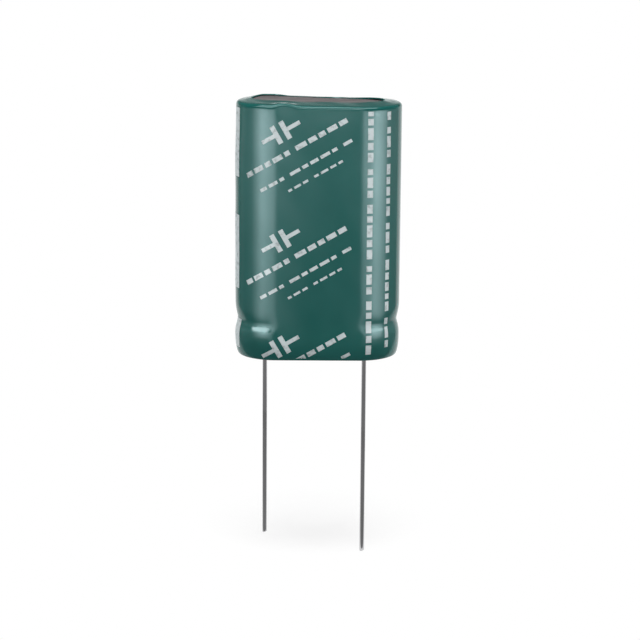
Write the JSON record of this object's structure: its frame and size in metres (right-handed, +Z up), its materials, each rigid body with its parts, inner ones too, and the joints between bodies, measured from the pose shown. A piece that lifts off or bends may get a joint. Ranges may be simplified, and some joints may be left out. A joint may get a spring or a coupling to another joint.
{
  "type": "supercapacitor",
  "caption": "Twin-cell supercapacitor module: two round cells side by side in one dark green shrink sleeve, with a fibre top plate and two straight wire leads.",
  "frame": {"origin": "middle of the module in plan, at the underside of the sleeve where it stands on a circuit board", "axes": "+Z up along the cells, leads pointing to -Z; X through both cell axes with the negative cell at -X; -Y is the front shown in the picture"},
  "size_m": [0.0208, 0.0106, 0.0584],
  "materials": {
    "sleeve_film": "glossy dark green shrink film",
    "fibre_board": "matt grey-brown fibre",
    "can_aluminium": "satin drawn aluminium",
    "bung_rubber": "matt black rubber",
    "tinned_wire": "tinned steel wire",
    "solder": "bright solder"
  },
  "bodies": {
    "root": {"outer_sleeve": "sleeve_film", "top_plate": "fibre_board", "negative_can": "can_aluminium", "negative_bung": "bung_rubber", "negative_lead": "tinned_wire", "negative_link": "tinned_wire", "positive_can": "can_aluminium", "positive_bung": "bung_rubber", "positive_lead": "tinned_wire", "positive_link": "tinned_wire", "solder_joint": "solder"}
  },
  "joints": []
}
